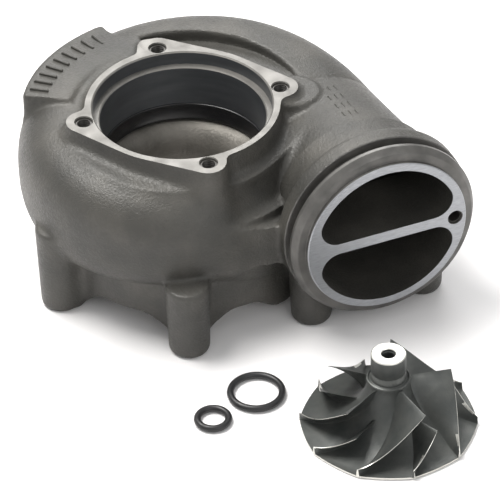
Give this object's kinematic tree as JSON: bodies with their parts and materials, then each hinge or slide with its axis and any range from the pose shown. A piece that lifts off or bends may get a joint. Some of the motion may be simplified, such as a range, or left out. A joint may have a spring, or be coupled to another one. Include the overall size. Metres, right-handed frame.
{
  "type": "turbocharger compressor housing set",
  "caption": "Cast volute compressor housing on bolt legs with a flanged inlet and a split round outlet, with its loose compressor wheel and O-rings.",
  "frame": {"origin": "on the inlet bore's axis, in the plane of the leg feet", "axes": "+Z along the inlet bore, out of the inlet; -Y along the outlet duct, out of the outlet"},
  "size_m": [0.2086, 0.3035, 0.1054],
  "materials": {
    "casting": "sand-cast skin, dark grey coating, with machined faces left bare",
    "shroud": "satin, turned",
    "seal_rubber": "glossy, oiled",
    "ring_rubber": "satin",
    "steel": "plain",
    "wheel_metal": "cast blades with machined edges"
  },
  "bodies": {
    "housing": {"volute_housing": "casting", "inducer_shroud": "shroud", "inlet_seal_ring": "seal_rubber", "outlet_sleeve": "steel", "outrigger_insert": "steel", "inlet_insert_1": "steel", "inlet_insert_2": "steel", "inlet_insert_3": "steel", "inlet_insert_4": "steel", "leg_insert_1": "steel", "leg_insert_2": "steel", "leg_insert_3": "steel", "leg_insert_4": "steel", "leg_insert_5": "steel", "leg_insert_6": "steel"},
    "impeller": {"impeller": "wheel_metal"},
    "large_ring": {"large_o_ring": "ring_rubber"},
    "small_ring": {"small_o_ring": "ring_rubber"}
  },
  "joints": [
    {"name": "impeller_spin", "type": "hinge", "parent": "housing", "child": "impeller", "pos_m": [0.041, -0.1636, 0], "axis": [0, 0, 1], "continuous": true},
    {"name": "large_ring_lift", "type": "slide", "parent": "housing", "child": "large_ring", "axis": [0, 0, 1], "range_m": [0, 0.08]},
    {"name": "small_ring_lift", "type": "slide", "parent": "housing", "child": "small_ring", "axis": [0, 0, 1], "range_m": [0, 0.08]}
  ]
}
